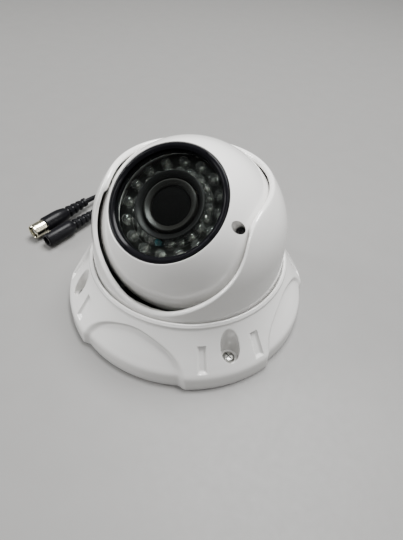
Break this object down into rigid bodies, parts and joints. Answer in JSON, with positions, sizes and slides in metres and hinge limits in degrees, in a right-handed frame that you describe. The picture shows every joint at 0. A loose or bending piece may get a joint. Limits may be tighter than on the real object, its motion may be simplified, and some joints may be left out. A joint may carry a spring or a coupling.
{
  "type": "dome cctv camera",
  "caption": "Dome security camera: a ball with a lens behind a flat window and rings of infrared lamps, held in a turning cut-away hood on a scalloped round base, with a tail cable and plugs.",
  "frame": {"origin": "centre of the base's underside, on the face that meets the wall or ceiling", "axes": "+Z from the base up through the ball; -Y is the front, midway between two of the base's cover screws; +X to the right seen from the front"},
  "size_m": [0.1821, 0.2007, 0.0959],
  "materials": {
    "white_paint": "glossy warm-white paint",
    "black_gloss": "glossy black",
    "black_matte": "fine matte black",
    "rubber": "soft matte black",
    "steel": "plain steel",
    "black_steel": "blackened steel",
    "zinc": "zinc plated",
    "window_clear": "clear, flat",
    "lens_glass": "coated lens glass",
    "lamp_resin": "clear moulded resin",
    "sensor_resin": "dark teal resin",
    "green_board": "green lacquered board",
    "dark_board": "black lacquered board",
    "nickel": "bright nickel plate",
    "brass": "plain brass",
    "nylon": "black nylon",
    "socket_plastic": "natural white plastic"
  },
  "bodies": {
    "base": {"base_cover": "white_paint", "mounting_plate": "zinc", "base_gasket": "rubber", "retaining_ring": "zinc", "cover_screw_1": "steel", "cover_screw_2": "steel", "cover_screw_3": "steel", "cover_screw_4": "steel", "cable_grommet": "rubber", "main_cable": "rubber", "cable_splitter": "rubber", "video_lead": "rubber", "power_lead": "rubber", "video_plug_body": "rubber", "video_socket": "nickel", "video_socket_core": "socket_plastic", "power_plug_body": "rubber", "power_pin": "nickel"},
    "yoke": {"yoke_shell": "white_paint", "seat_carrier": "zinc"},
    "seat": {"seat_ring": "nylon"},
    "ball_rear": {"ball_rear_shell": "white_paint", "ball_seal": "rubber"},
    "ball_front": {"ball_front_shell": "white_paint", "side_screw_1": "black_steel", "side_screw_2": "black_steel", "trim_ring": "black_gloss", "window_glass": "window_clear", "window_gasket": "rubber", "lamp_ring_outer": "lamp_resin", "lamp_ring_inner": "lamp_resin", "lamp_board": "dark_board", "light_sensor": "sensor_resin", "lens_hood": "black_matte", "lens_barrel": "black_matte", "front_barrel": "black_matte", "front_lens": "lens_glass", "rear_lens": "lens_glass", "lens_holder": "black_matte", "infrared_filter": "window_clear", "image_sensor": "dark_board", "sensor_board": "green_board", "power_board": "green_board", "lens_frame": "zinc", "board_spacer_1": "brass", "board_spacer_2": "brass", "board_spacer_3": "brass", "board_spacer_4": "brass"},
    "zoom_ring": {"zoom_ring": "black_matte"},
    "focus_ring": {"focus_ring": "black_matte"}
  },
  "joints": [
    {"name": "yoke_pan", "type": "hinge", "parent": "base", "child": "yoke", "pos_m": [0, 0, 0.0484], "axis": [0, 0, 1], "range_deg": [-177, 177]},
    {"name": "ball_swivel", "type": "hinge", "parent": "yoke", "child": "seat", "pos_m": [0, 0, 0.0484], "axis": [0, 0, 1], "range_deg": [-25, 45]},
    {"name": "ball_tilt", "type": "hinge", "parent": "seat", "child": "ball_rear", "pos_m": [0, 0, 0.0484], "axis": [0.9938, -0.1115, 0], "range_deg": [-36, 39]},
    {"name": "ball_roll", "type": "hinge", "parent": "ball_rear", "child": "ball_front", "pos_m": [0, 0, 0.0484], "axis": [-0.0655, -0.5841, 0.809], "range_deg": [-175, 175]},
    {"name": "zoom_turn", "type": "hinge", "parent": "ball_front", "child": "zoom_ring", "pos_m": [0, 0, 0.0484], "axis": [-0.0655, -0.5841, 0.809], "range_deg": [-45, 45]},
    {"name": "focus_turn", "type": "hinge", "parent": "ball_front", "child": "focus_ring", "pos_m": [0, 0, 0.0484], "axis": [-0.0655, -0.5841, 0.809], "range_deg": [-50, 35]}
  ]
}
